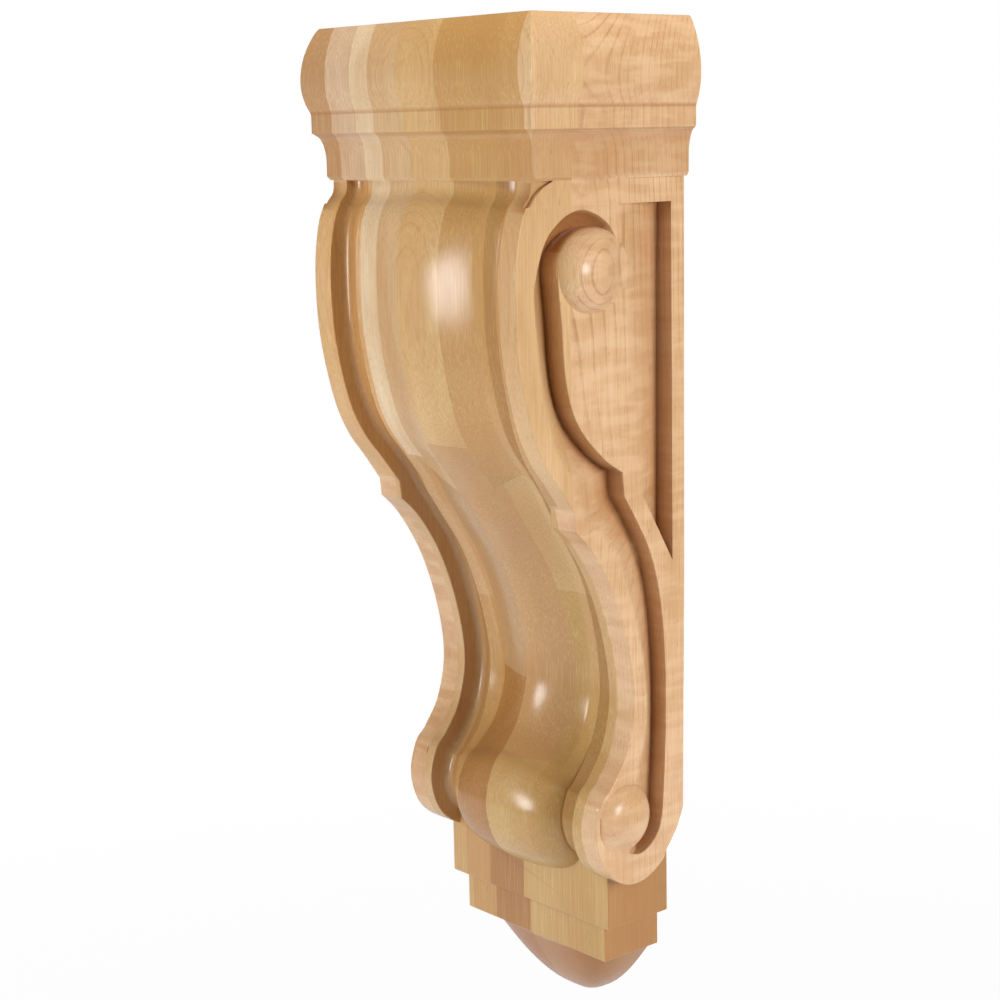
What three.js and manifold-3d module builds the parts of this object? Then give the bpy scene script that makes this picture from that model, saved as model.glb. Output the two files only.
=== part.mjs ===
// A carved wood corbel: a moulded cap over an S-shaped bracket with a raised rim down
// each edge of its front, a hollowed channel beside each rim, a swelling centre field,
// scrolled sides with two domed eyes, and a stepped foot that ends in a half dome.
// It is carved from one glued-up blank, so it is one solid. The wall is the plane y = 0,
// the front faces -y, and the origin is the middle of the flat back.

import * as THREE from 'three';
import { mergeVertices } from 'three/addons/utils/BufferGeometryUtils.js';
import Module from 'manifold-3d';

const wasm = await Module();
wasm.setup();

// Driving sizes, in millimetres

// the bracket
const bodyWidth = 108.8;      // across the side plates, just under the cap
const bodyTaper = 2.9;        // how far each side draws in from the cap to the bottom
const bodyHeight = 245;       // cap lip to the underside of the bottom scroll
const bodyOut = 77;           // wall to the front of the belly
const plateStep = 1.2;        // side plates stand this far over the back panels

// the cap
const neckOut = 68.4;         // wall to the front of the neck under the cap
const capHeight = 52.4;
const bandWidth = 118;        // the flat band, across
const bandOut = 72.9;
const torusSwell = 2.4;       // round moulding beyond the flat band
const torusCrownDrop = 18.3;  // where the round moulding swells the most
const topSetback = 2.5;       // top edge behind the flat band
const torusHeight = 29.3;
const bandHeight = 7;
const coveStep = 0.7;         // top of the cove behind the band
const coveDepth = 3.5;
const coveHeight = 9.5;
const lipInset = 4.4;         // lip behind the band
const lipHeight = 1.1;

// the front
const rimWidthTop = 9.4;
const rimWidthFoot = 12.8;
const fieldHalfTop = 34.4;    // centre line to the crisp edge of the field
const fieldHalfFoot = 29;
const fieldSink = 3.6;        // crisp edge below the rim, on the belly
const fieldSinkFoot = 4.6;    // the same, at the waist and below
const channelDepth = 2.4;     // channel floor below the crisp edge
const wallFoot = 0.3;         // rim wall's foot below the crisp edge
const neckSink = 1.4;         // crisp edge below the rim, under the cap
const hollowDepth = 0.8;      // hollow beside the crisp edge, on the field's side
const bellyCrown = 0.8;       // centre of the field above the rim, on the belly
const lobeCrown = 4.4;        // the same, on the bottom lobe

// the sides
const grooveDepth = 8.4;
const grooveDepthFoot = 7.4;
const eyeRadius = 14.4;
const eyeRise = 6.3;          // crown of the upper eye over the side plate
const eyeWaist = 2.7;         // an eye is widest this far below the plate
const eyeRoot = 1;            // an eye's root runs this far under the groove's floor
const footEyeRadius = 12.4;
const footEyeRise = 3.6;
const grooveAway = 1;         // the groove opens this far from the upper eye
const pocketDepth = 6.8;
const pocketReach = 34;       // wall to where the pocket's floor starts to sink, at its top
const pocketReachFoot = 20.9; // the same, at its turn
const pocketTurn = 158.3;     // drop where the pocket turns in to its point
const pocketPoint = 183.6;    // drop of the pocket's lower point
const backStrip = 6;          // flat strip left along the wall, behind the pocket
const barHeight = 8.3;        // flat bar under the cap, above the pocket
const barReach = 27.5;
const barSlant = 1.6;         // the bar's front end leans forward this far
const cutOverlap = 2;         // cuts that meet run into each other this far
const notchDepth = 1.7;       // hollow beside the scroll, under the cap's front corner
const cutterReach = 12;       // cutting shapes stand this far outside the side

// the foot
const stepWidth = 86;         // upper step, across
const stepOut = 29.4;
const stepHeight = 18.4;      // upper step below the bottom scroll
const stepBuried = 25;        // the upper step runs this far up into the scroll
const lowStepWidth = 76;
const lowStepOut = 26.4;
const lowStepHeight = 14.3;
const domeWidth = 70.8;
const domeOut = 26.2;
const domeHeight = 27.4;
const domeSquareness = 3.2;

// how finely the curves are cut
const beadSteps = 10;
const coveSteps = 5;
const bellyRows = 26;
const waistRows = 44;
const fieldColumns = 11;
const grooveStations = 64;
const eyeArcSteps = 8;
const pocketStations = 10;
const eyeRings = 7;
const eyeSides = 32;
const domeSides = 20;
const domeLevels = 8;

const footDrop = capHeight + bodyHeight;
const fullHeight = footDrop + stepHeight + lowStepHeight + domeHeight;
const backMiddle = fullHeight / 2;

// A point given by its distance sideways, out from the wall and down from the cap's top
const place = (side, out, drop) => new THREE.Vector3(side, -out, backMiddle - drop);

// Solids

function solidOf(geometry) {
  const bare = geometry.clone();
  bare.deleteAttribute('normal');
  bare.deleteAttribute('uv');
  const merged = mergeVertices(bare, 1e-4);
  const mesh = new wasm.Mesh({
    numProp: 3,
    vertProperties: new Float32Array(merged.attributes.position.array),
    triVerts: new Uint32Array(merged.index.array),
  });
  return new wasm.Manifold(mesh);
}

function geometryOf(solid) {
  const { vertProperties, triVerts } = solid.getMesh();
  const geometry = new THREE.BufferGeometry();
  geometry.setAttribute('position', new THREE.BufferAttribute(vertProperties, 3));
  geometry.setIndex(new THREE.BufferAttribute(triVerts, 1));
  geometry.computeVertexNormals();
  return geometry;
}

// Joins a row of closed rings with equal point counts into one closed skin. The rings run
// so that, seen from the last ring, their points turn anticlockwise. Each end is closed
// by triangles over its outline, seen along the axis named by capAxes.
function loft(rings, capAxes) {
  const count = rings[0].length;
  const positions = rings.flat().flatMap((p) => [p.x, p.y, p.z]);
  const index = [];
  for (let r = 0; r + 1 < rings.length; r++) {
    for (let i = 0; i < count; i++) {
      const a = r * count + i;
      const b = r * count + (i + 1) % count;
      index.push(a, b, b + count, a, b + count, a + count);
    }
  }
  const [u, v] = capAxes;
  const cap = (ring, start, keep) => {
    const flat = ring.map((p) => new THREE.Vector2(p[u], p[v]));
    const turn = Math.sign(THREE.ShapeUtils.area(flat));
    for (const [a, b, c] of THREE.ShapeUtils.triangulateShape(flat, [])) {
      const same = THREE.ShapeUtils.area([flat[a], flat[b], flat[c]]) * turn > 0;
      if (same === keep) index.push(start + a, start + b, start + c);
      else index.push(start + a, start + c, start + b);
    }
  };
  cap(rings[0], 0, false);
  cap(rings.at(-1), (rings.length - 1) * count, true);
  const geometry = new THREE.BufferGeometry();
  geometry.setAttribute('position', new THREE.Float32BufferAttribute(positions, 3));
  geometry.setIndex(index);
  const solid = solidOf(geometry);
  if (solid.volume() > 0) return solid;
  for (let t = 0; t < index.length; t += 3) [index[t], index[t + 1]] = [index[t + 1], index[t]];
  geometry.setIndex(index);
  return solidOf(geometry);
}

function block(width, out, topDrop, bottomDrop) {
  const box = new THREE.BoxGeometry(width, out, bottomDrop - topDrop);
  const centre = place(0, out / 2, (topDrop + bottomDrop) / 2);
  return solidOf(box.translate(centre.x, centre.y, centre.z));
}

// Cuts straight in from a side, over an outline of [out, drop] points, down to a floor
// that may slope
function prism(sign, points, floorAt) {
  const ring = (half) => points.map(([out, drop]) => place(sign * half(out, drop), out, drop));
  return loft([ring(floorAt), ring(() => bodyWidth / 2 + cutterReach)], ['y', 'z']);
}

const smooth = (t) => {
  const s = THREE.MathUtils.clamp(t, 0, 1);
  return s * s * (3 - 2 * s);
};
const blend = (a, b, t) => a + (b - a) * smooth(t);

// Outline of the bracket, seen from the side: [share of bodyOut, share of bodyHeight]
const shareCurve = (points) => new THREE.SplineCurve(
  points.map(([out, drop]) => new THREE.Vector2(out * bodyOut, capHeight + drop * bodyHeight)));
const neck = neckOut / bodyOut;
const bellyShape = [
  [neck, -0.01], [neck + 0.004, 0.016], [0.932, 0.033], [0.969, 0.061], [0.995, 0.109],
  [1, 0.162], [0.99, 0.215], [0.96, 0.27], [0.909, 0.329], [0.842, 0.372], [0.761, 0.406],
];
const waistShape = [
  [0.566, 0.503], [0.444, 0.567], [0.353, 0.651], [0.317, 0.733], [0.362, 0.8],
  [0.449, 0.843], [0.514, 0.866], [0.551, 0.914], [0.502, 0.964], [0.38, 0.995],
  [0.25, 0.998], [0.137, 0.979], [0.104, 0.962], [0.071, 0.949], [0.035, 0.932], [0, 0.905],
];
const knuckleTop = [0.674, 0.4443];
const knuckleFoot = [0.666, 0.4702];
const throughTop = [0.682, 0.441];      // the field passes the knuckles smoothly
const throughFoot = [0.632, 0.4702];

function outline(top, foot) {
  const upper = shareCurve([...bellyShape, top]).getSpacedPoints(bellyRows);
  const lower = shareCurve([foot, ...waistShape]).getSpacedPoints(waistRows);
  return [...upper, ...lower];
}
const rimLine = outline(knuckleTop, knuckleFoot);
const fieldLine = outline(throughTop, throughFoot);

// Inward direction at each row of the field line
const inward = fieldLine.map((p, i) => {
  const before = fieldLine[Math.max(i - 1, 0)];
  const after = fieldLine[Math.min(i + 1, fieldLine.length - 1)];
  const along = after.clone().sub(before).normalize();
  return new THREE.Vector2(-along.y, along.x);
});

const bodyShare = (drop) => (drop - capHeight) / bodyHeight;
const plateHalf = (drop) => bodyWidth / 2 - bodyTaper * bodyShare(drop);

// Section across the front. The widths and depths pass from belly to waist with the row.
function sectionAt(row) {
  const down = row / (fieldLine.length - 1);
  const lower = (down - 0.22) / 0.2;
  const rim = blend(rimWidthTop, rimWidthFoot, lower);
  const edge = blend(fieldHalfTop, fieldHalfFoot, (down - 0.2) / 0.55);
  const under = down > 0.75 ? smooth((fieldLine[row].x - stepOut * 0.5) / (stepOut * 0.4)) : 1;
  const opening = smooth(down / 0.12) * under;
  const sink = blend(neckSink, fieldSink, down / 0.12) + blend(0, fieldSinkFoot - fieldSink, lower);
  const crown = opening * blend(bellyCrown, lobeCrown, (down - 0.5) / 0.25);
  const full = smooth((down - 0.62) / 0.16);
  return { rim, edge, sink: sink * under, crown, full, floor: channelDepth * under };
}

// A point across the field, at a share of the way from the rim's wall to the middle.
// Returns [distance from the centre line, depth below the rim].
const channelShare = 0.4;
function fieldPoint(section, wall, share) {
  const { edge, sink, crown, floor, full } = section;
  if (share <= channelShare) {
    const t = share / channelShare;
    const dip = Math.sin(Math.PI * t ** 0.65) * floor + (1 - t) * wallFoot;
    return [THREE.MathUtils.lerp(wall, edge, t), sink + dip];
  }
  const side = edge * Math.cos(Math.PI / 2 * (share - channelShare) / (1 - channelShare));
  const hollowAt = edge - (wall - edge) * 0.6;
  const hollow = sink + hollowDepth;
  let field;
  if (side > hollowAt) {
    const t = (edge - side) / (edge - hollowAt);
    field = THREE.MathUtils.lerp(sink, hollow, Math.sin(Math.PI / 2 * t));
  } else {
    const t = 1 - side / hollowAt;
    const wave = (1 - Math.cos(Math.PI * t)) / 2;
    field = hollow - (hollow + crown) * THREE.MathUtils.lerp(wave, 1 - (1 - t) ** 3, 0.3);
  }
  const lobe = sink - (sink + crown) * (1 - (side / edge) ** 2.6) ** 0.6;
  return [side, THREE.MathUtils.lerp(field, lobe, full)];
}

function carvedBody() {
  const shares = Array.from({ length: fieldColumns }, (_, i) => i / (fieldColumns - 1));
  const half = [
    (row) => [plateHalf(rimLine[row].y), rimLine[row]],
    (row) => [plateHalf(rimLine[row].y) - sectionAt(row).rim, rimLine[row]],
    ...shares.map((share) => (row) => {
      const section = sectionAt(row);
      const [side, depth] = fieldPoint(section, plateHalf(rimLine[row].y) - section.rim, share);
      return [side, fieldLine[row].clone().addScaledVector(inward[row], depth)];
    }),
  ];
  const slice = (column, sign) => {
    const front = rimLine.map((_, row) => {
      const [side, p] = column(row);
      return place(sign * side, Math.max(p.x, 0), p.y);
    });
    const [topSide, top] = column(0);
    const [footSide, foot] = column(rimLine.length - 1);
    front[front.length - 1] = place(sign * footSide, 0, foot.y);
    front.push(place(sign * topSide, 0, top.y));
    return front;
  };
  const rings = half.map((column) => slice(column, -1));
  for (const column of half.slice(0, -1).reverse()) rings.push(slice(column, 1));
  return loft(rings, ['y', 'z']);
}

// The cap's section runs round its front and both sides. The round moulding is two arcs
// that meet at its crown, and the cove is a quarter of an ellipse.
function cap() {
  const arc = (span, rise) => (span ** 2 + rise ** 2) / (2 * rise);
  const upper = arc(torusCrownDrop, torusSwell + topSetback);
  const lower = arc(torusHeight - torusCrownDrop, torusSwell);
  const bead = Array.from({ length: beadSteps + 1 }, (_, i) => {
    const drop = torusHeight * i / beadSteps;
    const radius = drop < torusCrownDrop ? upper : lower;
    return [torusSwell - radius + Math.sqrt(radius ** 2 - (drop - torusCrownDrop) ** 2), drop];
  });
  const bandFoot = torusHeight + bandHeight;
  const cove = Array.from({ length: coveSteps + 1 }, (_, i) => {
    const turn = Math.PI / 2 * i / coveSteps;
    return [-coveStep - (coveDepth - coveStep) * Math.sin(turn), bandFoot + coveHeight * (1 - Math.cos(turn))];
  });
  const lip = capHeight - lipHeight;
  const levels = [...bead, [0, bandFoot], ...cove, [-coveDepth, lip], [-lipInset, capHeight]];
  const rings = levels.map(([over, drop]) => {
    const half = bandWidth / 2 + over;
    const out = bandOut + over;
    return [place(-half, out, drop), place(half, out, drop), place(half, 0, drop), place(-half, 0, drop)];
  });
  return loft(rings, ['x', 'y']);
}

// The foot: two square steps and a half dome whose plan is a rounded square
function foot() {
  const top = footDrop + stepHeight + lowStepHeight;
  const rings = Array.from({ length: domeLevels + 1 }, (_, r) => {
    const level = r === 0 ? 0 : 1 - (1 - r / (domeLevels + 0.2)) ** 1.6;
    const spread = Math.sqrt(1 - level ** 0.9);
    return Array.from({ length: domeSides + 1 }, (_, k) => {
      const turn = Math.PI * k / domeSides;
      const across = Math.cos(turn);
      const forward = Math.sin(turn);
      const plan = (Math.abs(across) ** domeSquareness + forward ** domeSquareness) ** (-1 / domeSquareness);
      const drop = top + domeHeight * level;
      return place(domeWidth / 2 * spread * plan * across, domeOut * spread * plan * forward, drop);
    });
  });
  const buried = rings[0].map((p) => p.clone().setZ(p.z + lipHeight));
  return block(stepWidth, stepOut, footDrop - stepBuried, footDrop + stepHeight)
    .add(block(lowStepWidth, lowStepOut, footDrop, top))
    .add(loft([buried, ...rings], ['x', 'y']));
}

// Lines of the side carving, seen from the side: [out from the wall, drop] as shares
const eyeShare = [0.579, 0.1207];
const footEyeShare = [0.379, 0.897];
const eyeAt = new THREE.Vector2(eyeShare[0] * bodyOut, capHeight + eyeShare[1] * bodyHeight);
const footEyeAt = new THREE.Vector2(footEyeShare[0] * bodyOut, capHeight + footEyeShare[1] * bodyHeight);
const grooveStart = 38 * Math.PI / 180;      // angle on the upper eye where the groove opens
const grooveLeave = 196 * Math.PI / 180;     // angle where its inner wall leaves the eye
const onCircle = (centre, radius, angle) => [
  centre.x - radius * Math.cos(angle), centre.y - radius * Math.sin(angle)];
const sharePoint = ([out, drop]) => [out * bodyOut, capHeight + drop * bodyHeight];

function innerWall() {
  const arc = Array.from({ length: eyeArcSteps + 1 }, (_, i) =>
    onCircle(eyeAt, eyeRadius, grooveStart + (grooveLeave - grooveStart) * i / eyeArcSteps));
  const upper = [[0.742, 0.185], [0.728, 0.243], [0.695, 0.294], [0.63, 0.334], [0.5, 0.376], [0.388, 0.399]];
  const lower = [[0.377, 0.433], [0.29, 0.476], [0.217, 0.519], [0.158, 0.581], [0.126, 0.66], [0.116, 0.75],
    [0.126, 0.85], [0.143, 0.914], [0.182, 0.939], [0.235, 0.952], [0.29, 0.956], [0.35, 0.95]];
  return [[...arc, ...upper.map(sharePoint)], lower.map(sharePoint)];
}

function outerEdge() {
  const start = onCircle(eyeAt, eyeRadius + grooveAway, grooveStart);
  const upper = [[0.473, 0.059], [0.547, 0.045], [0.626, 0.039], [0.707, 0.045], [0.786, 0.062], [0.834, 0.08],
    [0.868, 0.106], [0.893, 0.137], [0.893, 0.165], [0.888, 0.215], [0.868, 0.257], [0.812, 0.34], [0.726, 0.384],
    [0.684, 0.405]];
  const lower = [[0.66, 0.462], [0.513, 0.488], [0.422, 0.522], [0.357, 0.578], [0.31, 0.625], [0.271, 0.671],
    [0.249, 0.729], [0.256, 0.773], [0.331, 0.843], [0.36, 0.88], [0.366, 0.92], [0.364, 0.94]];
  return [[start, ...upper.map(sharePoint)], lower.map(sharePoint)];
}

// The groove along a side: a ramp falls from its outer edge to the foot of its inner wall
function groove(sign) {
  const spaced = (runs) => runs.flatMap((run) => {
    const curve = new THREE.SplineCurve(run.map(([out, drop]) => new THREE.Vector2(out, drop)));
    return curve.getSpacedPoints(grooveStations / 2);
  });
  const inner = spaced(innerWall());
  const outer = spaced(outerEdge());
  const proud = eyeRise * 2;
  const rings = inner.map((p, i) => {
    const q = outer[i];
    const share = i / (inner.length - 1);
    const depth = blend(grooveDepth, grooveDepthFoot, (share - 0.4) / 0.2)
      * Math.min(Math.min(share / 0.13 + 0.001, 1) ** 0.6, smooth((1 - share) / 0.05) + 0.05);
    const face = plateHalf(p.y);
    const rampOut = q.clone().add(q.clone().sub(p).multiplyScalar(0.08));
    return [
      place(sign * (face + depth * 0.08), rampOut.x, rampOut.y),
      place(sign * (face - depth), p.x, p.y),
      place(sign * (face + proud), p.x, p.y),
      place(sign * (face + proud), rampOut.x, rampOut.y),
    ];
  });
  return loft(rings, ['x', 'y']);
}

// The bar under the cap and the strip along the wall lie a step lower than the plate
function barAndStrip(sign) {
  const top = capHeight;
  const barFoot = capHeight + barHeight;
  const points = [[-1, top], [barReach + barSlant, top], [barReach, barFoot], [backStrip, barFoot + cutOverlap],
    [backStrip, pocketPoint - backStrip], [-1, footDrop - stepBuried]];
  return prism(sign, points, (out, drop) => plateHalf(drop) - (drop < pocketPoint ? plateStep : 0));
}

// A long wedge hollow beside the strip: its floor sinks towards the wall, and its lower end
// is cut off by a slanting wall
function pocket(sign) {
  const top = capHeight + barHeight;
  const deepest = pocketDepth + plateStep;
  const rings = Array.from({ length: pocketStations + 1 }, (_, i) => {
    const drop = THREE.MathUtils.lerp(top, pocketPoint, i / pocketStations);
    const reach = THREE.MathUtils.mapLinear(drop, top, pocketTurn, pocketReach, pocketReachFoot);
    const slant = THREE.MathUtils.mapLinear(drop, pocketTurn, pocketPoint, pocketReachFoot, backStrip + 0.1);
    const out = Math.min(reach, slant);
    const depth = deepest * (reach - out) / (reach - backStrip);
    const face = plateHalf(drop);
    return [
      place(sign * (face - depth + 0.02), out, drop),
      place(sign * (face - deepest), backStrip, drop),
      place(sign * (face + cutterReach), backStrip, drop),
      place(sign * (face + cutterReach), out, drop)];
  });
  return loft(rings, ['x', 'y']);
}

function frontNotch(sign) {
  const points = [[0.783, 0], [0.839, 0.009], [0.878, 0.018], [0.912, 0.032], [0.974, 0.037], [1.013, 0]]
    .map(sharePoint);
  return prism(sign, points, (out, drop) => plateHalf(drop) - notchDepth);
}

// A domed eye. On its tail side the dome runs out softly into the plate.
function eye(sign, centre, radius, rise, tail, tailAngle, sunk) {
  const ringAt = (share, lift) => Array.from({ length: eyeSides }, (_, k) => {
    const angle = 2 * Math.PI * k / eyeSides;
    const behind = Math.max(0, Math.cos(angle - tailAngle)) ** 1.5;
    const reach = radius * share * (1 + tail * behind * share);
    const drop = centre.y - reach * Math.sin(angle);
    return place(sign * (plateHalf(drop) + lift(behind)), centre.x - reach * Math.cos(angle), drop);
  });
  const domes = Array.from({ length: eyeRings }, (_, r) => {
    const share = Math.sin(Math.PI / 2 * (eyeRings - 0.9 - r) / (eyeRings - 0.9));
    const lens = (rise + eyeWaist) * Math.sqrt(1 - share ** 2) - eyeWaist;
    const soft = rise * (1 + Math.cos(Math.PI * share)) / 2;
    return ringAt(share, (behind) => THREE.MathUtils.lerp(lens, soft, behind));
  });
  return loft([ringAt(1, () => -sunk - eyeRoot), ...domes], ['y', 'z']);
}

const carvings = [1, -1].map((sign) => ({
  cuts: [barAndStrip(sign), frontNotch(sign), groove(sign), pocket(sign)],
  eyes: [
    eye(sign, eyeAt, eyeRadius, eyeRise, 0.2, 0, grooveDepth),
    eye(sign, footEyeAt, footEyeRadius, footEyeRise, 0.08, 250 * Math.PI / 180, grooveDepthFoot),
  ],
}));

let solid = carvedBody();
for (const { cuts } of carvings) for (const cut of cuts) solid = solid.subtract(cut);
for (const { eyes } of carvings) for (const dome of eyes) solid = solid.add(dome);
solid = solid.add(cap()).add(foot());

const wood = new THREE.MeshStandardMaterial({ color: 0xd9b184, roughness: 0.38, metalness: 0 });
const corbel = new THREE.Mesh(geometryOf(solid), wood);
corbel.name = 'corbel';

const part = new THREE.Group();
part.add(corbel);

export default part;
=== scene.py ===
import math

import bmesh
import bpy
from mathutils import Matrix, Vector


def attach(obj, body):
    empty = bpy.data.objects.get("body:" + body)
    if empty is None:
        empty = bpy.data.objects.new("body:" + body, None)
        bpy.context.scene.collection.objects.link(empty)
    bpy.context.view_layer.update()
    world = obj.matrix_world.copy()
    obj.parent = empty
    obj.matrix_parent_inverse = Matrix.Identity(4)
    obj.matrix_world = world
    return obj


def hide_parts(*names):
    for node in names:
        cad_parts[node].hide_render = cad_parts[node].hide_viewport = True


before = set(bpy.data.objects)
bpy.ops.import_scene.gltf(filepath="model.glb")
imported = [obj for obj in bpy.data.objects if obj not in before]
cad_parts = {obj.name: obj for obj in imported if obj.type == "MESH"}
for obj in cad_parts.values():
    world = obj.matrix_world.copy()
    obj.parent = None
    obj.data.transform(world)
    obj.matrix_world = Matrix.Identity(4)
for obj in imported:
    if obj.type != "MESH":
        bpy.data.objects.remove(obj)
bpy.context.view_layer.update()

# Sizes in millimetres. "drop" is measured down from the top of the cap, "out" from the
# wall, and "side" from the middle plane.

MM = 0.001

body_width = 108.8
body_taper = 2.9
body_height = 245
body_out = 77
plate_step = 1.2

neck_out = 68.4
cap_height = 52.4
band_width = 118
band_out = 72.9
lip_inset = 4.4
torus_height = 29.3
torus_crown_drop = 18.3       # where the round moulding swells the most
torus_swell = 2.4
top_setback = 2.5
band_height = 7
band_round = 0.5               # softened edges of the flat band
band_foot = torus_height + band_height
cove_depth = 3.5
cove_height = 9.5
lip_height = 1.1
cap_round = 0.6                # softened corners of the cap, seen from above

rim_width_top = 9.4
rim_width_foot = 12.8
field_half_top = 34.4
field_half_foot = 29
field_sink = 3.6
field_sink_foot = 4.6
channel_depth = 2.4
hollow_depth = 0.8
belly_crown = 0.8
lobe_crown = 4.4
rim_round = 0.5               # softened edges of the rim

groove_depth = 8.4
groove_depth_foot = 7.4
eye_radius = 14.4
eye_rise = 6.3
eye_waist = 2.7                # the eye is widest this far below the plate
foot_eye_radius = 12.9
foot_eye_rise = 4.7
foot_eye_front = 40.7          # the lower eye ends just behind the rim's front
pocket_depth = 6.8
pocket_reach = 34             # wall to where the pocket's floor starts to sink, at its top
pocket_reach_foot = 20.9      # the same, at its turn
pocket_turn = 158.3           # drop where the pocket turns in to its point
pocket_point = 183.6          # drop of the pocket's lower point
back_strip = 6
bar_height = 8.3
bar_reach = 27.5
notch_depth = 1.7             # beside the scroll, under the cap's front corner
flare_reach = (31, 60)        # where the plate runs up into the cove

step_width = 86
step_out = 29.4
step_height = 18.4
step_buried = 27               # the upper step runs this far up into the scroll
low_step_width = 76
low_step_out = 26.4
low_step_height = 14.3
step_round = 0.7
dome_width = 70.8
dome_height = 27.4
dome_squareness = 3.2

foot_drop = cap_height + body_height
step_top = foot_drop - step_buried
dome_top = foot_drop + step_height + low_step_height
full_height = dome_top + dome_height
back_middle = full_height / 2


def place(side, out, drop):
    return Vector((side, -out, back_middle - drop)) * MM


def clamp(value, low=0.0, high=1.0):
    return max(low, min(high, value))


def ease(t):
    t = clamp(t)
    return t * t * (3 - 2 * t)


def blend(a, b, t):
    return a + (b - a) * ease(t)


def mix(a, b, t):
    return a + (b - a) * t


# Smooth lines through a few points

def on_curve(t, a, b, c, d):
    """A value between b and c, on a smooth curve through all four."""
    square, cube = 2 * a - 5 * b + 4 * c - d, 3 * b - a - 3 * c + d
    return 0.5 * (2 * b + (c - a) * t + square * t ** 2 + cube * t ** 3)


def smooth_line(points, count):
    """Evenly spaced points on a smooth line through the given (out, drop) points."""
    fine = []
    last = len(points) - 1
    for i in range(last):
        before, after = points[max(i - 1, 0)], points[min(i + 2, last)]
        axes = list(zip(before, points[i], points[i + 1], after))
        for k in range(24):
            fine.append(tuple(on_curve(k / 24, *axis) for axis in axes))
    fine.append(points[-1])
    run = [0.0]
    for a, b in zip(fine, fine[1:]):
        run.append(run[-1] + math.dist(a, b))
    line = []
    k = 0
    for i in range(count + 1):
        goal = run[-1] * i / count
        while k < len(run) - 2 and run[k + 1] < goal:
            k += 1
        t = clamp((goal - run[k]) / max(run[k + 1] - run[k], 1e-9))
        line.append(Vector(mix(a, b, t) for a, b in zip(fine[k], fine[k + 1])))
    return line


def on_body(out_share, drop_share):
    return (out_share * body_out, cap_height + drop_share * body_height)


def on_circle(centre, radius, degrees):
    angle = math.radians(degrees)
    return (centre[0] - radius * math.cos(angle), centre[1] - radius * math.sin(angle))


# Building blocks

def bent_sheet(columns, rows, shape, tube=False):
    """A grid bent so that each corner lies at shape(column, row). A tube joins its first
    and last columns, and what is still open of it is filled with flat faces."""
    bm = bmesh.new()
    bmesh.ops.create_grid(bm, x_segments=columns, y_segments=rows, size=1)
    for v in bm.verts:
        column = round((v.co.x + 1) / 2 * columns)
        row = round((v.co.y + 1) / 2 * rows)
        v.co = shape(column, row)
    bmesh.ops.remove_doubles(bm, verts=bm.verts, dist=1e-7)
    if tube:
        bmesh.ops.holes_fill(bm, edges=[e for e in bm.edges if e.is_boundary], sides=0)
        bmesh.ops.recalc_face_normals(bm, faces=bm.faces)
    return bm


def cut_at_wall(bm):
    wall = bmesh.ops.bisect_plane(bm, geom=bm.verts[:] + bm.edges[:] + bm.faces[:], plane_co=(0, 0, 0),
                                  plane_no=(0, 1, 0), clear_outer=True)
    cut = [e for e in wall["geom_cut"] if isinstance(e, bmesh.types.BMEdge)]
    bmesh.ops.holes_fill(bm, edges=cut, sides=0)


def block(width, out, top_drop, bottom_drop, rounding):
    """A block against the wall, with rounded edges but for its top and its back."""
    bm = bmesh.new()
    bmesh.ops.create_cube(bm, size=1)
    bmesh.ops.scale(bm, verts=bm.verts, vec=Vector((width, out + 2, bottom_drop - top_drop)) * MM)
    bmesh.ops.translate(bm, verts=bm.verts, vec=place(0, (out - 2) / 2, (top_drop + bottom_drop) / 2))
    sharp = [e for e in bm.edges if min(v.co.y for v in e.verts) < -MM
             and not all(v.co.z > place(0, 0, top_drop + 0.01).z for v in e.verts)]
    bmesh.ops.bevel(bm, geom=sharp, offset=rounding * MM, offset_type="OFFSET", affect="EDGES",
                    segments=4, profile=0.5, material=-1)
    cut_at_wall(bm)
    return bm


def mirrored(bm):
    other = bm.copy()
    bmesh.ops.scale(other, verts=other.verts, vec=(-1, 1, 1))
    bmesh.ops.reverse_faces(other, faces=other.faces)
    return other


def as_object(bm, name):
    mesh = bpy.data.meshes.new(name)
    bm.to_mesh(mesh)
    bm.free()
    piece = bpy.data.objects.new(name, mesh)
    bpy.context.scene.collection.objects.link(piece)
    return piece


def carve(piece, bm, operation):
    """Cuts bm away from the piece, or joins it on."""
    tool = as_object(bm, "carving_tool")
    step = piece.modifiers.new(operation, "BOOLEAN")
    step.operation = operation
    step.solver = "MANIFOLD"
    step.object = tool
    carved = bpy.data.meshes.new_from_object(piece.evaluated_get(bpy.context.evaluated_depsgraph_get()))
    piece.modifiers.remove(step)
    old = piece.data
    piece.data = carved
    bpy.data.meshes.remove(old)
    bpy.data.objects.remove(tool)


# Front of the bracket

belly_shape = [
    (neck_out / body_out, -0.01), (neck_out / body_out + 0.004, 0.016), (0.932, 0.033), (0.969, 0.061),
    (0.995, 0.109), (1, 0.162), (0.99, 0.215), (0.96, 0.27), (0.909, 0.329), (0.842, 0.372), (0.761, 0.406)]
waist_shape = [
    (0.566, 0.503), (0.444, 0.567), (0.353, 0.651), (0.317, 0.733), (0.362, 0.8), (0.449, 0.843),
    (0.514, 0.866), (0.551, 0.914), (0.502, 0.964), (0.38, 0.995), (0.25, 0.998), (0.137, 0.979),
    (0.104, 0.962), (0.071, 0.949), (0.035, 0.932), (0, 0.905)]
knuckle_top, knuckle_foot = (0.674, 0.4443), (0.666, 0.4702)
through_top, through_foot = (0.682, 0.441), (0.632, 0.4702)
belly_rows, waist_rows = 110, 190


def outline(top, foot):
    upper = smooth_line([on_body(*p) for p in belly_shape + [top]], belly_rows)
    lower = smooth_line([on_body(*p) for p in [foot] + waist_shape], waist_rows)
    return upper + lower


rim_line = outline(knuckle_top, knuckle_foot)
field_line = outline(through_top, through_foot)
last_row = len(rim_line) - 1


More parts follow.
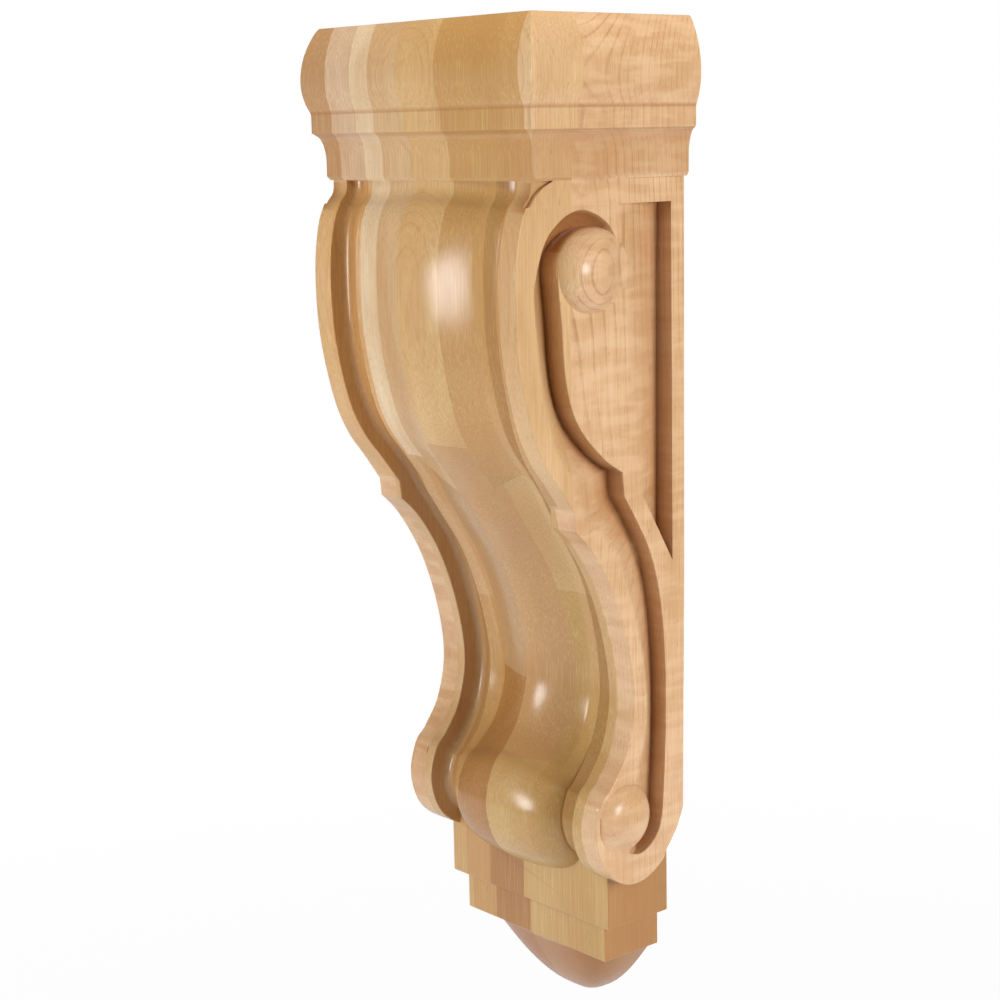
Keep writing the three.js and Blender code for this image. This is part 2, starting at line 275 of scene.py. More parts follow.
def inward_of(line):
    turned = []
    for i in range(len(line)):
        along = line[min(i + 1, len(line) - 1)] - line[max(i - 1, 0)]
        along.normalize()
        turned.append(Vector((-along.y, along.x)))
    return turned


field_inward = inward_of(field_line)
rim_inward = inward_of(rim_line)


def plate_half(drop):
    return body_width / 2 - body_taper * (drop - cap_height) / body_height


def section_at(row):
    down = row / last_row
    lower = (down - 0.22) / 0.2
    under = ease((field_line[row].x - step_out * 0.5) / (step_out * 0.4)) if down > 0.75 else 1
    opening = ease(down / 0.12) * under
    sink = blend(1.4, field_sink, down / 0.12) + blend(0, field_sink_foot - field_sink, lower)
    return {
        "rim": blend(rim_width_top, rim_width_foot, lower),
        "edge": blend(field_half_top, field_half_foot, (down - 0.2) / 0.55),
        "sink": sink * under,
        "crown": opening * blend(belly_crown, lobe_crown, (down - 0.5) / 0.25),
        "full": ease((down - 0.62) / 0.16),
        "floor": channel_depth * under,
    }


def field_point(section, wall, share):
    """Distance from the middle and depth under the rim, from the rim's wall to the middle."""
    edge, sink, crown = section["edge"], section["sink"], section["crown"]
    if share <= channel_share:
        t = share / channel_share
        dip = math.sin(math.pi * t ** 0.65) * section["floor"] + (1 - t) * 0.3
        return mix(wall, edge, t), sink + dip
    side = edge * math.cos(math.pi / 2 * (share - channel_share) / (1 - channel_share))
    hollow_at = edge - (wall - edge) * 0.6
    hollow = sink + hollow_depth
    if side > hollow_at:
        field = mix(sink, hollow, math.sin(math.pi / 2 * (edge - side) / (edge - hollow_at)))
    else:
        t = 1 - side / hollow_at
        field = hollow - (hollow + crown) * mix((1 - math.cos(math.pi * t)) / 2, 1 - (1 - t) ** 3, 0.3)
    lobe = sink - (sink + crown) * (1 - (side / edge) ** 2.6) ** 0.6
    return side, mix(field, lobe, section["full"])


channel_share = 0.35
field_columns = 60
rim_steps = 4


def front_point(column, row):
    sign = -1
    if column > front_columns / 2:
        column, sign = front_columns - column, 1
    section = section_at(row)
    outer = plate_half(rim_line[row].y)
    wall = outer - section["rim"]
    if column <= rim_steps:
        turn = math.pi / 2 * column / rim_steps
        side, depth = outer - rim_round * (1 - math.cos(turn)), rim_round * (1 - math.sin(turn))
        p = rim_line[row] + rim_inward[row] * depth
    elif column <= 2 * rim_steps + 1:
        turn = math.pi / 2 * (column - rim_steps - 1) / rim_steps
        side, depth = wall + rim_round * (1 - math.sin(turn)), rim_round * (1 - math.cos(turn))
        p = rim_line[row] + rim_inward[row] * depth
    else:
        side, depth = field_point(section, wall, (column - 2 * rim_steps - 2) / field_columns)
        p = field_line[row] + field_inward[row] * depth
    return place(sign * side, max(p.x, 0), p.y)


front_columns = 2 * (2 * rim_steps + 2 + field_columns)


def bracket():
    """The front skin, carried back to the wall, with flat sides and a flat back."""
    bm = bent_sheet(front_columns, last_row, front_point)
    top = place(0, 0, rim_line[0].y).z
    for v in bm.verts:
        v.co.y = min(v.co.y, 0)
    neck = [e for e in bm.edges if e.is_boundary
            and all(abs(v.co.z - top) < 0.2 * MM and v.co.y < -50 * MM for v in e.verts)]
    for v in bmesh.ops.extrude_edge_only(bm, edges=neck)["geom"]:
        if isinstance(v, bmesh.types.BMVert):
            v.co.y = 0
            v.co.z = top
    corners = [v for v in bm.verts if v.is_boundary and abs(v.co.y) < 1e-7]
    for sign in (-1, 1):
        ours = [v for v in corners if v.co.x * sign > 0]
        high = max(ours, key=lambda v: (round(v.co.z, 5), abs(v.co.x)))
        low = min(ours, key=lambda v: (round(v.co.z, 5), -abs(v.co.x)))
        bm.edges.new((high, low))
    bmesh.ops.holes_fill(bm, edges=[e for e in bm.edges if e.is_boundary or e.is_wire], sides=0)
    bmesh.ops.recalc_face_normals(bm, faces=bm.faces)
    return bm


# Cap: the same section runs round the front and both sides

def cap_profile():
    """(offset from the flat band, drop) from the top down."""
    def arc(span, rise):
        return (span ** 2 + rise ** 2) / (2 * rise)
    upper = arc(torus_crown_drop, torus_swell + top_setback)
    lower = arc(torus_height - torus_crown_drop, torus_swell)
    profile = [(-top_setback - 0.5, 0), (-top_setback - 0.12, 0.1)]
    for i in range(1, 29):
        drop = 0.4 + (torus_height - 0.7) * i / 28
        radius = upper if drop < torus_crown_drop else lower
        swell = torus_swell - radius + math.sqrt(radius ** 2 - (drop - torus_crown_drop) ** 2)
        profile.append((swell, drop))
    profile += [(0.04, torus_height + 0.15), (0, torus_height + band_round), (0, band_foot - band_round),
                (-0.15, band_foot - 0.15), (-band_round, band_foot)]
    inset = band_round + 0.2
    for i in range(1, 15):
        turn = math.pi / 2 * i / 14
        profile.append((-inset - (cove_depth - inset) * math.sin(turn),
                        band_foot + band_round + cove_height * (1 - math.cos(turn))))
    lip = cap_height - lip_height
    profile += [(-cove_depth, lip - 0.4), (-cove_depth - 0.15, lip), (-lip_inset + 0.12, cap_height - 0.2),
                (-lip_inset, cap_height), (-lip_inset - 3, cap_height + 0.01)]
    return profile


corner_steps = 4


def cap_body():
    profile = cap_profile()
    ring = 2 * (corner_steps + 1) + 2

    def rim(column, row):
        over, drop = profile[row]
        half = band_width / 2 + over
        out = band_out + over
        radius = cap_round
        column %= ring
        if column == 0:
            return place(-half, 0, drop)
        if column == ring - 1:
            return place(half, 0, drop)
        step = column - 1
        sign = -1
        if step > corner_steps:
            step, sign = 2 * corner_steps + 1 - step, 1
        turn = math.pi / 2 * step / corner_steps
        side = half - radius + radius * math.cos(turn)
        return place(sign * side, out - radius + radius * math.sin(turn), drop)

    return bent_sheet(ring, len(profile) - 1, rim, tube=True)


def dome():
    sides, levels = 48, 24

    def skin(column, row):
        turn = math.pi * 2 * column / sides
        level = 1 - (1 - row / levels) ** 1.6
        spread = math.sqrt(max(1 - level ** 0.9, 0)) if row else 1
        cos, sin = math.cos(turn), math.sin(turn)
        plan = (abs(cos) ** dome_squareness + abs(sin) ** dome_squareness) ** (-1 / dome_squareness)
        side = dome_width / 2 * spread * plan * cos
        out = (low_step_out - 0.2) * spread * plan * sin
        return place(side, out, dome_top - 0.5 + (dome_height + 0.5) * level)

    bm = bent_sheet(sides, levels, skin, tube=True)
    cut_at_wall(bm)
    bmesh.ops.recalc_face_normals(bm, faces=bm.faces)
    return bm


# Side carving, cut into the right side and mirrored to the left

eye_at = on_body(0.579, 0.1207)
foot_eye_at = on_body(0.379, 0.897)
groove_start, groove_leave = 38, 196    # degrees round the upper eye
groove_stations = 90
groove_round = 0.45            # softened edges of the groove
eye_undercut = 1.6             # the groove runs this far in under the upper eye
clearance = 12                 # the carving cuts start this far outside the plate

inner_upper = [(0.742, 0.185), (0.728, 0.243), (0.695, 0.294), (0.63, 0.334), (0.5, 0.376), (0.388, 0.399)]
inner_lower = [
    (0.377, 0.433), (0.29, 0.476), (0.217, 0.519), (0.158, 0.581), (0.126, 0.66), (0.116, 0.75),
    (0.126, 0.85), (0.143, 0.914), (0.182, 0.939), (0.235, 0.952), (0.29, 0.956), (0.35, 0.95)]
outer_upper = [
    (0.473, 0.059), (0.547, 0.045), (0.626, 0.039), (0.707, 0.045), (0.786, 0.062), (0.834, 0.08),
    (0.868, 0.106), (0.893, 0.137), (0.893, 0.165), (0.888, 0.215), (0.868, 0.257), (0.812, 0.34),
    (0.726, 0.384), (0.684, 0.405)]
outer_lower = [
    (0.66, 0.462), (0.513, 0.488), (0.422, 0.522), (0.357, 0.578), (0.31, 0.625), (0.271, 0.671),
    (0.249, 0.729), (0.256, 0.773), (0.331, 0.843), (0.36, 0.88), (0.366, 0.92), (0.364, 0.94)]


def groove():
    """Deepest at its outer wall, with a floor that rises to the inner one."""
    # round the eye the groove runs in under it, so that the eye itself is the inner wall
    round_eye = []
    for i in range(9):
        radius = eye_radius - eye_undercut * math.sin(math.pi * min(i / 7.5, 1)) ** 0.5
        round_eye.append(on_circle(eye_at, radius, mix(groove_start, groove_leave, i / 8)))
    start = on_circle(eye_at, eye_radius + 1, groove_start)
    inner = (smooth_line(round_eye + [on_body(*p) for p in inner_upper], groove_stations)
             + smooth_line([on_body(*p) for p in inner_lower], groove_stations))
    outer = (smooth_line([start] + [on_body(*p) for p in outer_upper], groove_stations)
             + smooth_line([on_body(*p) for p in outer_lower], groove_stations))
    ramp = 8
    last = len(inner) - 1

    def section(column, row):
        p, q = inner[row], outer[row]
        share = row / last
        depth = blend(groove_depth, groove_depth_foot, (share - 0.4) / 0.2)
        depth *= min(clamp(share / 0.13 + 0.001) ** 0.6, ease((1 - share) / 0.05) + 0.05)
        soft = min(groove_round, depth * 0.3)
        reach = (q - p).length
        column %= ramp + 8
        if column <= ramp:
            t = column / ramp
            lean = (math.sqrt(t ** 2 + 0.01) - 0.1) / (math.sqrt(1.01) - 0.1)
            lean = mix(math.sin(math.pi / 2 * t ** 0.7), lean, ease((share - 0.1) / 0.22))
            across, down = 1 - t * (1 - min(soft / reach, 0.3)), (depth - soft * 0.2) * lean - 0.03
        else:
            across, down = [
                (0.3 * soft / reach, depth - 0.05 * soft), (0, depth - soft * 0.6), (0, soft),
                (-0.3 * soft / reach, 0.3 * soft), (-soft / reach, 0), (-1.6 * soft / reach, -clearance),
                (1.02, -clearance),
            ][column - ramp - 1]
        at = p + (q - p) * across
        return place(plate_half(at.y) - down, at.x, at.y)

    return bent_sheet(ramp + 8, last, section, tube=True)


def prism(outline_points, floor):
    """Cuts straight in from outside, over an outline of (out, drop) points, down to floor(out, drop)."""
    bm = bmesh.new()
    low = [bm.verts.new(place(floor(*p), *p)) for p in outline_points]
    bm.faces.new(low)
    raised = bmesh.ops.extrude_face_region(bm, geom=bm.faces[:])
    for v in raised["geom"]:
        if isinstance(v, bmesh.types.BMVert):
            v.co.x = (body_width / 2 + clearance) * MM
    bmesh.ops.recalc_face_normals(bm, faces=bm.faces)
    return bm


def plate_cut(drop, depth):
    return plate_half(drop) - depth


def bar_and_strip():
    top, bar_foot = cap_height + 0.02, cap_height + bar_height
    outline_points = [(-1, top), (bar_reach + 1.6, top), (bar_reach, bar_foot), (back_strip, bar_foot + 2),
                      (back_strip, pocket_point), (-1, pocket_point + 40)]
    return prism(outline_points, lambda out, drop: plate_cut(drop, plate_step if drop < pocket_point else 0))


def pocket():
    """A long wedge hollow: its floor sinks towards the wall and its lower end is cut off aslant."""
    top = cap_height + bar_height
    deepest = pocket_depth + plate_step
    stations = 60

    def section(column, row):
        drop = mix(top, pocket_point, row / stations)
        reach = mix(pocket_reach, pocket_reach_foot, (drop - top) / (pocket_turn - top))
        slant = mix(pocket_reach_foot, back_strip + 0.1, (drop - pocket_turn) / (pocket_point - pocket_turn))
        out = min(reach, slant)
        depth = deepest * (reach - out) / (reach - back_strip) - 0.03
        corners = [(depth, out), (deepest, back_strip), (-clearance, back_strip), (-clearance, out)]
        down, at = corners[column % 4]
        return place(plate_half(drop) - down, at, drop)

    return bent_sheet(4, stations, section, tube=True)


def plate_flare():
    """The plate runs up into the cove above the scroll, with no lip between them."""
    high, low = cap_height - lip_height - 3, cap_height + 9
    count, stations = 12, 24

    def section(column, row):
        t = row / stations
        column %= count + 3
        if column > count:
            drop, over = [high, low][column - count - 1], -4
        else:
            drop = mix(low, high, column / count)
            over = 0.95 * (column / count) ** 1.5 * ease(8 * (1 - t)) * ease(12 * t) - 0.02
        return place(plate_half(drop) + over, mix(*flare_reach, t), drop)

    return bent_sheet(count + 3, stations, section, tube=True)


def front_top_notch():
    outline_points = [(60.3, cap_height + 0.02), (64.6, cap_height + 2.1), (67.6, cap_height + 4.5),
                      (70.2, cap_height + 7.9), (75, cap_height + 9), (78, cap_height + 0.02)]
    return prism(outline_points, lambda out, drop: plate_cut(drop, notch_depth))


def eye(centre, radius, rise, sunk, tail, tail_degrees, tail_narrowness, front_limit=body_out):
    """A domed boss, widest a little below the plate. On its tail side the dome runs out
    softly into the plate."""
    sides, rings = 96, 24

    def skin(column, row):
        turn = math.tau * column / sides
        behind = max(0, math.cos(turn - math.radians(tail_degrees))) ** tail_narrowness
        if row == 0:
            share, lift = 1, -sunk
        else:
            share = math.sin(math.pi / 2 * (rings - row) / (rings - 1))
            lift = (rise + eye_waist) * math.sqrt(max(1 - share ** 2, 0)) - eye_waist
            lift = mix(lift, rise * (1 + math.cos(math.pi * share)) / 2 - 0.1 * share, behind)
        reach = radius * share * (1 + tail * behind * share)
        out = min(centre[0] - reach * math.cos(turn), front_limit)
        drop = centre[1] - reach * math.sin(turn)
        return place(plate_half(drop) + lift, out, drop)

    return bent_sheet(sides, rings, skin, tube=True)


# Painted shade: how much darker the wood is painted, from 0 to 1, in the carving's hollows, under the
# mouldings, on the tiers' sides and on the dome, where shade falls

wall_slope = 0.35              # a face that turns less than this to the side is a wall of the carving
groove_head = (36, 62)         # from the wall, where the groove starts above the upper eye
groove_head_foot = eye_at[1] - 7
notch_from = 58                # the notch beside the scroll lies further out than this


def cap_painted_shade(normal, side, out, drop):
    """Painted shade under the round moulding, and in the cove under the band."""
    if abs(drop - torus_height + 0.1) < 0.3:
        return 0.55
    in_cove = band_foot - 0.1 < drop < cap_height - 0.5 and side < band_width / 2 and out < band_out
    if not in_cove:
        return 0
    under_band = clamp(1 - (drop - band_foot) / (cove_height - band_round))
    return (0.3 if abs(normal.x) > 0.5 else 0.02) + 0.25 * under_band


def carving_painted_shade(normal, down, out, drop):
    """Painted shade on the walls of the groove and the pocket, and in their depth."""
    if drop < groove_head_foot and groove_head[0] < out < groove_head[1]:
        return clamp(down / 0.2)
    if abs(normal.x) < wall_slope:
        return 0.35 + 0.55 * down
    pocket_edge = min(pocket_reach, mix(pocket_reach, 18, (drop - 60) / 120))
    in_pocket = drop < pocket_point and out < pocket_edge
    return clamp(down) ** (9 if in_pocket else 2)


def painted_shade_at(normal, side, out, drop, front):
    """How much painted shade a point of the surface gets, whose face has this normal."""
    step_side = abs(normal.x) > 0.8 and drop > step_top - 3 and abs(side - step_width / 2) < 0.3
    # the dome and the tiers' sides are painted darker all over, as painted shade for the dimmer light low
    # down
    if drop > dome_top + 0.3:
        return 1
    if drop > foot_drop or step_side:
        return 0.8 if abs(normal.x) > 0.8 else 0
    if drop < cap_height + 0.1:
        return cap_painted_shade(normal, side, out, drop)
    rim_out, section = front.get(round(drop), front[max(front)])
    down = (plate_half(drop) - side) / groove_depth
    in_notch = out > notch_from and drop < cap_height + 10 and 0.02 < down < 0.25
    if in_notch:
        return 0.8 if abs(normal.x) < wall_slope else 0.3
    if 0 < down < 1.1 and drop < foot_drop - 8 and 3 < out < rim_out - 5:
        return carving_painted_shade(normal, down, out, drop)
    inside = plate_half(drop) - section["rim"] - side
    if inside > -0.3 and normal.y < 0.2:
        room = inside + side - section["edge"]
        return 0.4 * clamp(1.15 - inside / room) * clamp((drop - cap_height) / 25)
    return 0


def mark_painted_shade(mesh):
    """Notes at each face corner how much painted shade darkens the wood there. The back has none."""
    front = {}
    for row, (a, b) in enumerate(zip(rim_line, rim_line[1:])):
        for drop in range(math.ceil(a.y), math.floor(b.y) + 1):
            front[drop] = (a.x, section_at(row))
    marks = mesh.attributes.new("painted_shade", "FLOAT", "CORNER")
    for face in mesh.polygons:
        if face.normal.y > 0.9:
            continue
        for i in face.loop_indices:
            at = mesh.vertices[mesh.loops[i].vertex_index].co / MM
            marks.data[i].value = painted_shade_at(face.normal, abs(at.x), -at.y, back_middle - at.z, front)


def corbel_piece():
    piece = as_object(bracket(), "corbel_carved")
    for cut in (bar_and_strip(), front_top_notch(), groove(), pocket()):
        other = mirrored(cut)
        carve(piece, cut, "DIFFERENCE")
        carve(piece, other, "DIFFERENCE")
    upper_eye = eye(eye_at, eye_radius, eye_rise, sunk=groove_depth + 1,
                    tail=0.22, tail_degrees=0, tail_narrowness=1.5)
    lower_eye = eye(foot_eye_at, foot_eye_radius, foot_eye_rise, sunk=groove_depth_foot + 1,
                    tail=0.05, tail_degrees=250, tail_narrowness=5, front_limit=foot_eye_front)
    for boss in (upper_eye, lower_eye):
        other = mirrored(boss)
        carve(piece, boss, "UNION")
        carve(piece, other, "UNION")
    carve(piece, cap_body(), "UNION")
    flare = plate_flare()
    other = mirrored(flare)
    carve(piece, flare, "UNION")
    carve(piece, other, "UNION")
    step = block(step_width, step_out, step_top, foot_drop + step_height, step_round)
    low_step = block(low_step_width, low_step_out, foot_drop, dome_top, step_round)
    for part in (step, low_step, dome()):
        carve(piece, part, "UNION")
    mark_painted_shade(piece.data)
    piece.data.set_sharp_from_angle(angle=math.radians(32))
    for face in piece.data.polygons:
        face.use_smooth = True
    weighted = piece.modifiers.new("flat_faces_stay_flat", "WEIGHTED_NORMAL")
    weighted.keep_sharp = True
    weighted.weight = 100
    return piece


# Wood: boards of maple glued side by side, in two layers, under a satin clear coat

# Colours run from 0 to 255, as on a screen
grain_line, fleck_brown, cloud_tan = (150, 92, 46), (150, 100, 58), (182, 130, 76)
fibre_dark, fibre_light = (160, 112, 64), (240, 214, 172)
curl_dark, curl_light = (200, 150, 100), (236, 203, 162)
# painted shade: the colour the wood is darkened towards in hollows, under mouldings and on the low parts
painted_shade_colour = (156, 91, 26)

board_reach = 62               # the boards lie between this and as much to the other side
no_joint = 400                 # a drop below the foot, for a board that has no joint

# Each board, from left to right: the side where it starts, its shade, the drop of its butt
# joint, and the shade of the board below that
front_boards = [
    (-62, (186, 143, 98), cap_height, (214, 172, 118)),
    (-46.6, (213, 181, 149), cap_height, (214, 166, 106)),
    (-32.6, (230, 206, 170), 150, (208, 170, 126)),
    (-22.5, (211, 175, 130), 162, (200, 160, 108)),
    (-6.5, (211, 172, 115), 142, (194, 152, 100)),
    (13.1, (195, 150, 88), 152, (185, 144, 86)),
    (46, (200, 154, 94), cap_height, (219, 181, 132)),
    (55, (221, 184, 138), no_joint, (221, 184, 138))]
# below their joints the back boards' shades are partly their own colour, partly painted shade: darker and
# warmer for the dimmer, warmer light low down
back_boards = [
    (-62, (211, 170, 129), no_joint, (211, 170, 129)),
    (-44, (207, 172, 124), 290, (199, 162, 104)),
    (-35.3, (201, 160, 110), 206, (190, 146, 87)),
    (-21.6, (182, 143, 97), 232, (163, 112, 54)),
    (-2, (192, 149, 97), 258, (198, 162, 102)),
    (18, (201, 164, 108), 196, (190, 152, 89)),
    (36, (201, 164, 108), 250, (198, 160, 101)),
    (44, (221, 180, 138), no_joint, (221, 180, 138))]
layer_out = 53                 # from the wall to the glue line between the two layers
outer_board = 43.5             # the outermost back boards start here
middle_board = -4.7            # middle of the middle front boards
middle_reach = 17.8            # from there to either edge of them
ring_gap = 1.5
pith_out = 57                  # the outermost boards' rings bend round a line this far out
pith_side = 6                  # and this far past the middle, towards the other side


def linear(colour):
    return [((c / 255 + 0.055) / 1.055) ** 2.4 for c in colour[:3]] + [1]


def maple():
    wood = bpy.data.materials.new("laminated_maple")
    wood.use_nodes = True
    tree = wood.node_tree
    shader = tree.nodes["Principled BSDF"]

    def plug(value, socket):
        if isinstance(value, bpy.types.NodeSocket):
            tree.links.new(value, socket)
        else:
            socket.default_value = value

    def calc(operation, *values):
        node = tree.nodes.new("ShaderNodeMath")
        node.operation = operation
        for value, socket in zip(values, node.inputs):
            plug(value, socket)
        return node.outputs[0]

    def plus(a, b):
        return calc("ADD", a, b)

    def times(a, b):
        return calc("MULTIPLY", a, b)

    def either(switch, on, off):
        return plus(times(switch, on), times(calc("SUBTRACT", 1, switch), off))

    def point(x, y, z):
        node = tree.nodes.new("ShaderNodeCombineXYZ")
        for value, socket in zip((x, y, z), node.inputs):
            plug(value, socket)
        return node.outputs[0]

    def noise(vector, detail):
        node = tree.nodes.new("ShaderNodeTexNoise")
        plug(vector, node.inputs["Vector"])
        node.inputs["Scale"].default_value = 1.0
        node.inputs["Detail"].default_value = detail
        return node.outputs["Fac"]

    def streaks(across, through, along, detail):
        return noise(point(times(side, across), times(depth, through), times(height, along)), detail)

    def steps(boards, column, read):
        node = tree.nodes.new("ShaderNodeValToRGB")
        ramp = node.color_ramp
        ramp.interpolation = "CONSTANT"
        for i, board in enumerate(boards):
            at = (board[0] + board_reach) / (2 * board_reach)
            stop = ramp.elements[i] if i < 2 else ramp.elements.new(at)
            stop.position = at
            stop.color = read(board[column])
        plug(across_share, node.inputs[0])
        return node.outputs[0]

    def blend_colour(factor, a, b):
        node = tree.nodes.new("ShaderNodeMix")
        node.data_type = "RGBA"
        first_colour, second_colour = node.inputs[6], node.inputs[7]
        plug(factor, node.inputs[0])
        plug(a, first_colour)
        plug(b, second_colour)
        return node.outputs[2]

    def fade(value, low, high, out_low=0.0, out_high=1.0):
        node = tree.nodes.new("ShaderNodeMapRange")
        node.interpolation_type = "SMOOTHSTEP"
        sockets = {"Value": value, "From Min": low, "From Max": high, "To Min": out_low, "To Max": out_high}
        for name, given in sockets.items():
            plug(given, node.inputs[name])
        return node.outputs[0]

    def tint(factor, shade):
        return blend_colour(factor, colour, linear(shade))

    where = tree.nodes.new("ShaderNodeTexCoord").outputs["Object"]
    split = tree.nodes.new("ShaderNodeSeparateXYZ")
    plug(where, split.inputs[0])
    side, depth, height = (calc("DIVIDE", axis, MM) for axis in split.outputs)
    drop = calc("SUBTRACT", back_middle, height)

    # boards
    across_share = calc("DIVIDE", plus(side, board_reach), 2 * board_reach)
    in_front = calc("LESS_THAN", depth, -layer_out)

    def as_grey(joint):
        return [joint / no_joint] * 3 + [1]

    def layer(boards):
        joint = times(steps(boards, 2, as_grey), no_joint)
        below = calc("GREATER_THAN", drop, joint)
        return below, blend_colour(below, steps(boards, 1, linear), steps(boards, 3, linear))

    below_front, front_colour = layer(front_boards)
    below_back, back_colour = layer(back_boards)
    colour = blend_colour(in_front, back_colour, front_colour)
    # this differs from layer to layer, and above and below a butt joint, so that no ring runs
    # on across them
    number = plus(times(in_front, 3.7), plus(below_back, times(below_front, 1.3)))

    # Growth rings. In the narrow boards they run straight through from front to back. In the
    # outermost back boards they bend round one line, so the side shows them as contours. In
    # the middle front boards they lie nearly flat, so the hollow waist shows them as arcs.
    sway = noise(point(times(side, 0.01), times(depth, 0.012), plus(times(height, 0.008), number)), 1.0)
    sway = times(calc("SUBTRACT", sway, 0.5), 12)
    across = calc("ABSOLUTE", side)
    at_side = calc("GREATER_THAN", across, outer_board)
    outermost = times(at_side, calc("SUBTRACT", 1, in_front))
    edge_board = times(at_side, in_front)
    middle = times(in_front, calc("COMPARE", side, middle_board, middle_reach))
    from_pith, behind_pith = plus(across, pith_side), plus(depth, pith_out)
    bent = calc("SQRT", plus(times(from_pith, from_pith), times(behind_pith, behind_pith)))
    straight = plus(across, times(depth, 0.22))
    lying = plus(times(depth, 0.8), times(times(side, side), 0.012))
    upright = plus(times(across, 0.35), times(depth, 0.9))
    shell = either(outermost, bent, either(middle, lying, straight))
    shell = plus(either(edge_board, upright, shell), sway)
    uneven = noise(point(times(shell, 0.21), number, 3.0), 1.0)
    ring = calc("FRACT", plus(calc("DIVIDE", shell, ring_gap), times(uneven, 1.6)))
    late = times(fade(ring, 0.7, 0.95), fade(ring, 1.0, 0.96))
    late = times(late, fade(drop, 98, 125, 1.0, 0.4))
    patchy = fade(streaks(0.05, 0.05, 0.03, 1.0), 0.3, 0.7, 0.25, 1.0)
    late = times(late, times(patchy, plus(0.33, times(outermost, 0.67))))

    # fibres, flecks and clouds run along the boards, and curly figure across the outermost ones
    fibre = streaks(2.6, 2.6, 0.05, 3.0)
    fleck = streaks(1.5, 1.5, 0.35, 1.0)
    cloud = streaks(0.06, 0.06, 0.02, 2.0)
    curl = streaks(0.05, 0.06, 0.26, 2.0)
    colour = tint(times(late, 0.6), grain_line)
    colour = tint(fade(fibre, 0.35, 0.7, 0.0, 0.22), fibre_dark)
    colour = tint(fade(fibre, 0.5, 0.25, 0.0, 0.2), fibre_light)
    colour = tint(fade(fleck, 0.66, 0.78, 0.0, 0.35), fleck_brown)
    colour = tint(fade(cloud, 0.35, 0.7, 0.0, 0.34), cloud_tan)
    colour = tint(times(outermost, fade(curl, 0.42, 0.66, 0.0, 0.3)), curl_light)
    colour = tint(times(outermost, fade(curl, 0.45, 0.3, 0.0, 0.22)), curl_dark)
    # painted shade: darkens the wood where the mesh's marks say shade falls
    painted_shade = tree.nodes.new("ShaderNodeAttribute")
    painted_shade.attribute_name = "painted_shade"
    colour = tint(times(painted_shade.outputs["Fac"], 0.75), painted_shade_colour)
    plug(colour, shader.inputs["Base Color"])

    bump = tree.nodes.new("ShaderNodeBump")
    bump.inputs["Strength"].default_value = 0.06
    bump.inputs["Distance"].default_value = 0.0002
    plug(fibre, bump.inputs["Height"])
    plug(bump.outputs[0], shader.inputs["Normal"])
    plug(fade(fibre, 0.2, 0.8, 0.36, 0.5), shader.inputs["Roughness"])
    shader.inputs["Coat Weight"].default_value = 0.8
    shader.inputs["Coat Roughness"].default_value = 0.22
    shader.inputs["Specular IOR Level"].default_value = 0.2
    return wood


# Studio, in metres

camera_at = (0.5435, -0.5019, 0.14145)
lamp_distance = 1.4


def camera():
    turn, down, roll = math.radians(49.572), math.radians(10.127), math.radians(-1.165)
    back = Vector((math.sin(turn) * math.cos(down), -math.cos(turn) * math.cos(down), math.sin(down)))
    right = Vector((math.cos(turn), math.sin(turn), 0))
    up = back.cross(right)
    right, up = right * math.cos(roll) + up * math.sin(roll), up * math.cos(roll) - right * math.sin(roll)
    lens = bpy.data.cameras.new("camera")
    lens.sensor_width = 36
    lens.lens = 73.85
    stand = bpy.data.objects.new("camera", lens)
    stand.matrix_world = Matrix.Translation(camera_at) @ Matrix((right, up, back)).transposed().to_4x4()
    bpy.context.scene.collection.objects.link(stand)
    bpy.context.scene.camera = stand


def softbox(name, turn, lift, power, size, shines=False):
    """A round lamp: turned to the right from the corbel's front, lifted above its middle.
    Only a lamp that shines shows in the clear coat."""
    turn, lift = math.radians(turn), math.radians(lift)
    towards = Vector((math.sin(turn) * math.cos(lift), -math.cos(turn) * math.cos(lift), math.sin(lift)))
    light = bpy.data.lights.new(name, "AREA")
    light.energy = power
    light.shape = "DISK"
    light.size = size
    stand = bpy.data.objects.new(name, light)
    stand.visible_glossy = shines
    stand.location = towards * lamp_distance
    stand.rotation_euler = towards.to_track_quat("Z", "Y").to_euler()
    bpy.context.scene.collection.objects.link(stand)


def white_room():
    """White as far as the camera sees, and a softer light on the wood."""
    world = bpy.data.worlds.new("white_room")
    world.use_nodes = True
    tree = world.node_tree
    light = tree.nodes["Background"]
    light.inputs["Color"].default_value = (1, 0.92, 0.8, 1)
    light.inputs["Strength"].default_value = 0.1
    white = tree.nodes.new("ShaderNodeBackground")
    white.inputs["Color"].default_value = (1, 1, 1, 1)
    white.inputs["Strength"].default_value = 1.0
    seen = tree.nodes.new("ShaderNodeLightPath")
    choose = tree.nodes.new("ShaderNodeMixShader")
    tree.links.new(seen.outputs["Is Camera Ray"], choose.inputs[0])
    tree.links.new(light.outputs[0], choose.inputs[1])
    tree.links.new(white.outputs[0], choose.inputs[2])
    tree.links.new(choose.outputs[0], tree.nodes["World Output"].inputs[0])
    bpy.context.scene.world = world


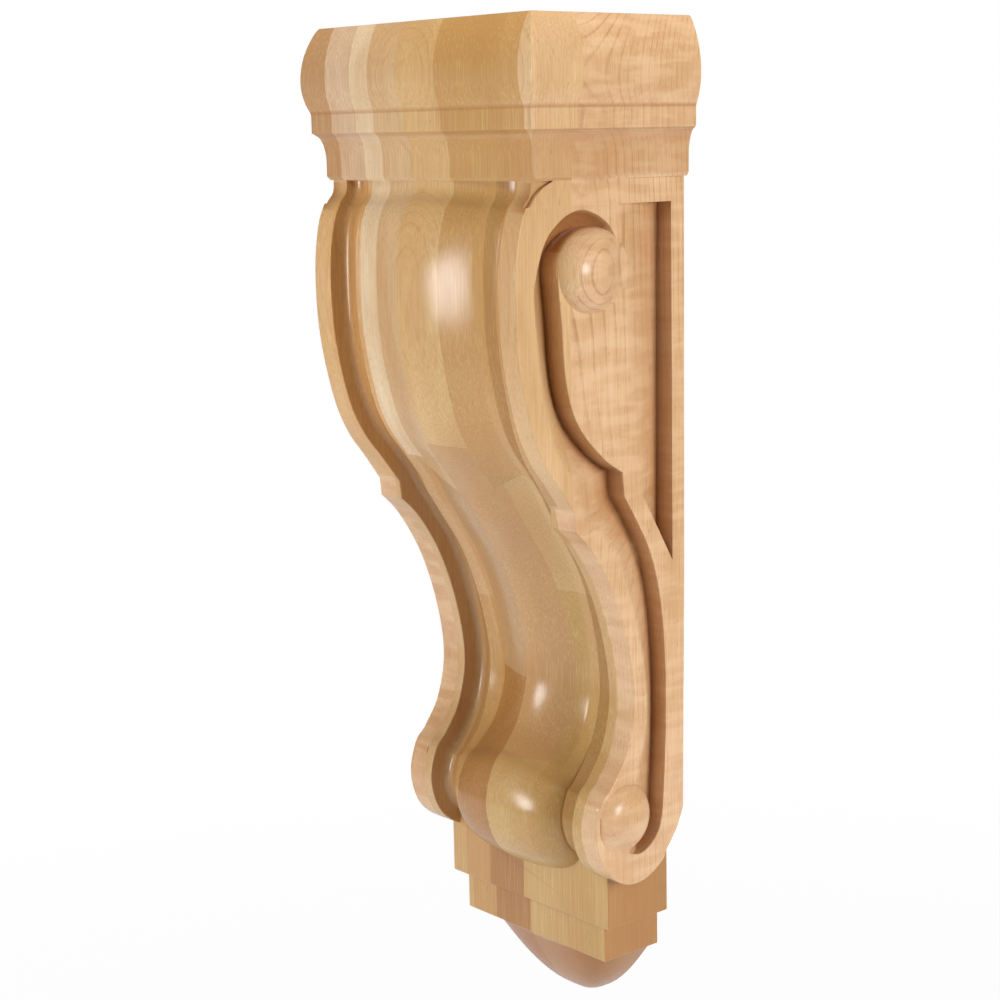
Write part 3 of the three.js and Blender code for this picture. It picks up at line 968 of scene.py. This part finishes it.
def pale_floor():
    bm = bmesh.new()
    bmesh.ops.create_grid(bm, x_segments=1, y_segments=1, size=8)
    bmesh.ops.translate(bm, verts=bm.verts, vec=(0, 0, -0.45))
    floor = as_object(bm, "floor")
    pale_paint = bpy.data.materials.new("pale_floor")
    pale_paint.use_nodes = True
    tree = pale_paint.node_tree
    paint = tree.nodes["Principled BSDF"]
    paint.inputs["Base Color"].default_value = (0.8, 0.8, 0.8, 1)
    paint.inputs["Roughness"].default_value = 0.9
    glow = tree.nodes.new("ShaderNodeEmission")
    where = tree.nodes.new("ShaderNodeTexCoord")
    away = tree.nodes.new("ShaderNodeVectorMath")
    away.operation = "LENGTH"
    tree.links.new(where.outputs["Object"], away.inputs[0])
    far = tree.nodes.new("ShaderNodeMapRange")
    far.inputs["From Max"].default_value = 1.2
    far.inputs["To Min"].default_value = 0.88
    tree.links.new(away.outputs["Value"], far.inputs["Value"])
    seen = tree.nodes.new("ShaderNodeLightPath")
    bright = tree.nodes.new("ShaderNodeMath")
    bright.operation = "MULTIPLY"
    tree.links.new(far.outputs[0], bright.inputs[0])
    tree.links.new(seen.outputs["Is Camera Ray"], bright.inputs[1])
    choose = tree.nodes.new("ShaderNodeMixShader")
    tree.links.new(bright.outputs[0], choose.inputs[0])
    tree.links.new(paint.outputs[0], choose.inputs[1])
    tree.links.new(glow.outputs[0], choose.inputs[2])
    tree.links.new(choose.outputs[0], tree.nodes["Material Output"].inputs[0])
    floor.data.materials.append(pale_paint)


def studio():
    bpy.context.scene.view_settings.view_transform = "Standard"
    camera()
    softbox("front_softbox", -17, 3, 7.3, 0.45, shines=True)
    softbox("left_softbox", -55, -2, 5.2, 0.6)
    softbox("high_softbox", 20, 40, 4.5, 0.6)
    softbox("low_softbox", 20, -30, 2.2, 0.6)
    softbox("right_softbox", 94, 6, 5.8, 0.4, shines=True)
    softbox("back_softbox", 112, 14, 10, 0.8)
    softbox("top_softbox", 0, 90, 14, 0.6)
    white_room()
    pale_floor()


corbel = corbel_piece()
corbel.data.materials.clear()
corbel.data.materials.append(maple())
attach(corbel, "root")
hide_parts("corbel")
studio()
